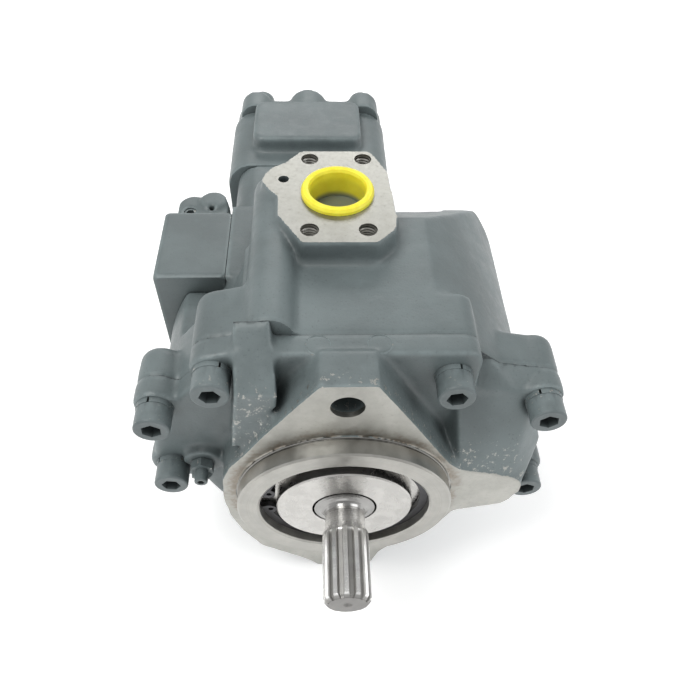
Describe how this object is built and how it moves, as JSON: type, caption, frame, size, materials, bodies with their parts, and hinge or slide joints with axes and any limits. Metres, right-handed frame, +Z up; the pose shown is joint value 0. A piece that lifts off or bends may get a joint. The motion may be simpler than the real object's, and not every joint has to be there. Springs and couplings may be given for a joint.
{
  "type": "axial piston pump",
  "caption": "Variable axial piston pump with a two-bolt flange, splined shaft, suction port on top, side regulator and a gear pump on the rear end.",
  "frame": {"origin": "centre of the mounting flange face on the shaft axis", "axes": "+Y along the shaft from the drive end to the rear, +X right seen from the drive end, +Z up through the suction port"},
  "size_m": [0.1977, 0.34, 0.1904],
  "materials": {
    "grey_paint": "satin grey enamel over cast iron",
    "ground_steel": "ground",
    "turned_steel": "fine turned",
    "bearing_steel": "polished",
    "spring_steel": "phosphated, oiled",
    "bronze": "turned bronze",
    "cast_iron": "machined",
    "hardened_steel": "hardened and ground",
    "seal_rubber": "moulded",
    "gasket_fibre": "fibre sheet",
    "yellow_plastic": "moulded polyethylene"
  },
  "bodies": {
    "casing": {"front_cover": "grey_paint", "main_housing": "grey_paint", "joint_gasket": "gasket_fibre", "regulator_housing": "grey_paint", "pilot_valve_block": "grey_paint", "pilot_valve_plug": "grey_paint", "rear_adapter": "grey_paint", "gear_pump_body": "grey_paint", "gear_pump_cover": "grey_paint", "seal_cover": "turned_steel", "retaining_ring": "spring_steel", "shaft_seal": "seal_rubber", "front_bearing_outer_race": "bearing_steel", "rear_bearing_cup": "bearing_steel", "cradle_bearings": "bronze", "valve_plate": "bronze", "swash_spring": "spring_steel", "regulator_spring": "spring_steel", "gear_bushes": "bronze", "cover_screws": "grey_paint", "screw_lock_washers": "grey_paint", "stop_screw": "grey_paint", "stop_screw_nut": "grey_paint", "regulator_screws": "grey_paint", "gear_pump_screws": "grey_paint", "suction_port_cap": "yellow_plastic"},
    "shaft": {"drive_shaft": "ground_steel", "front_bearing_inner_race": "bearing_steel", "cylinder_block": "cast_iron", "block_spring": "spring_steel", "retainer_ball": "ground_steel", "gear_coupling": "ground_steel", "drive_gear": "ground_steel"},
    "front_cage": {"front_bearing_balls": "bearing_steel", "front_bearing_cage": "bronze"},
    "rear_roller_set": {"rear_bearing_rollers": "bearing_steel"},
    "retainer": {"retainer_plate": "hardened_steel"},
    "swash": {"swash_plate": "cast_iron"},
    "stroke_piston": {"control_piston": "hardened_steel"},
    "gear_idler": {"driven_gear": "ground_steel"},
    "spool": {"regulator_spool": "hardened_steel"},
    "piston_1_body": {"piston_1": "hardened_steel"},
    "slipper_1_body": {"slipper_1": "bronze"},
    "piston_2_body": {"piston_2": "hardened_steel"},
    "slipper_2_body": {"slipper_2": "bronze"},
    "piston_3_body": {"piston_3": "hardened_steel"},
    "slipper_3_body": {"slipper_3": "bronze"},
    "piston_4_body": {"piston_4": "hardened_steel"},
    "slipper_4_body": {"slipper_4": "bronze"},
    "piston_5_body": {"piston_5": "hardened_steel"},
    "slipper_5_body": {"slipper_5": "bronze"},
    "piston_6_body": {"piston_6": "hardened_steel"},
    "slipper_6_body": {"slipper_6": "bronze"},
    "piston_7_body": {"piston_7": "hardened_steel"},
    "slipper_7_body": {"slipper_7": "bronze"},
    "piston_8_body": {"piston_8": "hardened_steel"},
    "slipper_8_body": {"slipper_8": "bronze"},
    "piston_9_body": {"piston_9": "hardened_steel"},
    "slipper_9_body": {"slipper_9": "bronze"}
  },
  "joints": [
    {"name": "shaft_spin", "type": "hinge", "parent": "casing", "child": "shaft", "pos_m": [0, 0, 0], "axis": [0, 1, 0], "range_deg": [-360, 360]},
    {"name": "swash_tilt", "type": "hinge", "parent": "casing", "child": "swash", "pos_m": [0, 0.058, 0], "axis": [-1, 0, 0], "range_deg": [0, 15]},
    {"name": "retainer_tilt", "type": "hinge", "parent": "shaft", "child": "retainer", "pos_m": [0, 0.058, 0], "axis": [-1, 0, 0], "range_deg": [-0.01, 15.01]},
    {"name": "control_piston_stroke", "type": "slide", "parent": "casing", "child": "stroke_piston", "axis": [0, 1, 0], "range_m": [-0.00002, 0.01939]},
    {"name": "front_cage_spin", "type": "hinge", "parent": "casing", "child": "front_cage", "pos_m": [0, 0.0135, 0], "axis": [0, 1, 0], "range_deg": [-139.1, 139.1]},
    {"name": "rear_rollers_spin", "type": "hinge", "parent": "casing", "child": "rear_roller_set", "pos_m": [0, 0.1275, 0], "axis": [0, 1, 0], "range_deg": [-147.38, 147.38]},
    {"name": "driven_gear_spin", "type": "hinge", "parent": "casing", "child": "gear_idler", "pos_m": [-0.0336, 0.229, 0], "axis": [0, 1, 0], "range_deg": [-360.5, 360.5]},
    {"name": "regulator_spool_slide", "type": "slide", "parent": "casing", "child": "spool", "axis": [0, 1, 0], "range_m": [0, 0.0028], "stiffness_N_per_m": 600},
    {"name": "piston_1_stroke", "type": "slide", "parent": "shaft", "child": "piston_1_body", "axis": [0, 1, 0], "range_m": [-0.00002, 0.00902]},
    {"name": "slipper_1_tilt", "type": "hinge", "parent": "piston_1_body", "child": "slipper_1_body", "pos_m": [0, 0.058, 0.034], "axis": [-1, 0, 0], "range_deg": [-0.01, 15.01]},
    {"name": "piston_2_stroke", "type": "slide", "parent": "shaft", "child": "piston_2_body", "axis": [0, 1, 0], "range_m": [-0.00002, 0.00692]},
    {"name": "slipper_2_tilt", "type": "hinge", "parent": "piston_2_body", "child": "slipper_2_body", "pos_m": [-0.02185, 0.058, 0.02605], "axis": [-1, 0, 0], "range_deg": [-0.01, 15.01]},
    {"name": "piston_3_stroke", "type": "slide", "parent": "shaft", "child": "piston_3_body", "axis": [0, 1, 0], "range_m": [-0.00002, 0.00158]},
    {"name": "slipper_3_tilt", "type": "hinge", "parent": "piston_3_body", "child": "slipper_3_body", "pos_m": [-0.03348, 0.058, 0.0059], "axis": [-1, 0, 0], "range_deg": [-0.01, 15.01]},
    {"name": "piston_4_stroke", "type": "slide", "parent": "shaft", "child": "piston_4_body", "axis": [0, 1, 0], "range_m": [-0.00452, 0.00002]},
    {"name": "slipper_4_tilt", "type": "hinge", "parent": "piston_4_body", "child": "slipper_4_body", "pos_m": [-0.02944, 0.058, -0.017], "axis": [-1, 0, 0], "range_deg": [-0.01, 15.01]},
    {"name": "piston_5_stroke", "type": "slide", "parent": "shaft", "child": "piston_5_body", "axis": [0, 1, 0], "range_m": [-0.00848, 0.00002]},
    {"name": "slipper_5_tilt", "type": "hinge", "parent": "piston_5_body", "child": "slipper_5_body", "pos_m": [-0.01163, 0.058, -0.03195], "axis": [-1, 0, 0], "range_deg": [-0.01, 15.01]},
    {"name": "piston_6_stroke", "type": "slide", "parent": "shaft", "child": "piston_6_body", "axis": [0, 1, 0], "range_m": [-0.00848, 0.00002]},
    {"name": "slipper_6_tilt", "type": "hinge", "parent": "piston_6_body", "child": "slipper_6_body", "pos_m": [0.01163, 0.058, -0.03195], "axis": [-1, 0, 0], "range_deg": [-0.01, 15.01]},
    {"name": "piston_7_stroke", "type": "slide", "parent": "shaft", "child": "piston_7_body", "axis": [0, 1, 0], "range_m": [-0.00452, 0.00002]},
    {"name": "slipper_7_tilt", "type": "hinge", "parent": "piston_7_body", "child": "slipper_7_body", "pos_m": [0.02944, 0.058, -0.017], "axis": [-1, 0, 0], "range_deg": [-0.01, 15.01]},
    {"name": "piston_8_stroke", "type": "slide", "parent": "shaft", "child": "piston_8_body", "axis": [0, 1, 0], "range_m": [-0.00002, 0.00158]},
    {"name": "slipper_8_tilt", "type": "hinge", "parent": "piston_8_body", "child": "slipper_8_body", "pos_m": [0.03348, 0.058, 0.0059], "axis": [-1, 0, 0], "range_deg": [-0.01, 15.01]},
    {"name": "piston_9_stroke", "type": "slide", "parent": "shaft", "child": "piston_9_body", "axis": [0, 1, 0], "range_m": [-0.00002, 0.00692]},
    {"name": "slipper_9_tilt", "type": "hinge", "parent": "piston_9_body", "child": "slipper_9_body", "pos_m": [0.02185, 0.058, 0.02605], "axis": [-1, 0, 0], "range_deg": [-0.01, 15.01]}
  ],
  "couplings": [
    {"joint": "retainer_tilt", "follows": "swash_tilt", "ratio": 1},
    {"joint": "control_piston_stroke", "follows": "swash_tilt", "m_per_rad": 0.074},
    {"joint": "front_cage_spin", "follows": "shaft_spin", "ratio": 0.385},
    {"joint": "rear_rollers_spin", "follows": "shaft_spin", "ratio": 0.408},
    {"joint": "driven_gear_spin", "follows": "shaft_spin", "ratio": -1},
    {"joint": "piston_1_stroke", "follows": "swash_tilt", "m_per_rad": 0.034391},
    {"joint": "slipper_1_tilt", "follows": "swash_tilt", "ratio": 1},
    {"joint": "piston_2_stroke", "follows": "swash_tilt", "m_per_rad": 0.026345},
    {"joint": "slipper_2_tilt", "follows": "swash_tilt", "ratio": 1},
    {"joint": "piston_3_stroke", "follows": "swash_tilt", "m_per_rad": 0.0059719},
    {"joint": "slipper_3_tilt", "follows": "swash_tilt", "ratio": 1},
    {"joint": "piston_4_stroke", "follows": "swash_tilt", "m_per_rad": -0.017195},
    {"joint": "slipper_4_tilt", "follows": "swash_tilt", "ratio": 1},
    {"joint": "piston_5_stroke", "follows": "swash_tilt", "m_per_rad": -0.032317},
    {"joint": "slipper_5_tilt", "follows": "swash_tilt", "ratio": 1},
    {"joint": "piston_6_stroke", "follows": "swash_tilt", "m_per_rad": -0.032317},
    {"joint": "slipper_6_tilt", "follows": "swash_tilt", "ratio": 1},
    {"joint": "piston_7_stroke", "follows": "swash_tilt", "m_per_rad": -0.017195},
    {"joint": "slipper_7_tilt", "follows": "swash_tilt", "ratio": 1},
    {"joint": "piston_8_stroke", "follows": "swash_tilt", "m_per_rad": 0.0059719},
    {"joint": "slipper_8_tilt", "follows": "swash_tilt", "ratio": 1},
    {"joint": "piston_9_stroke", "follows": "swash_tilt", "m_per_rad": 0.026345},
    {"joint": "slipper_9_tilt", "follows": "swash_tilt", "ratio": 1}
  ]
}
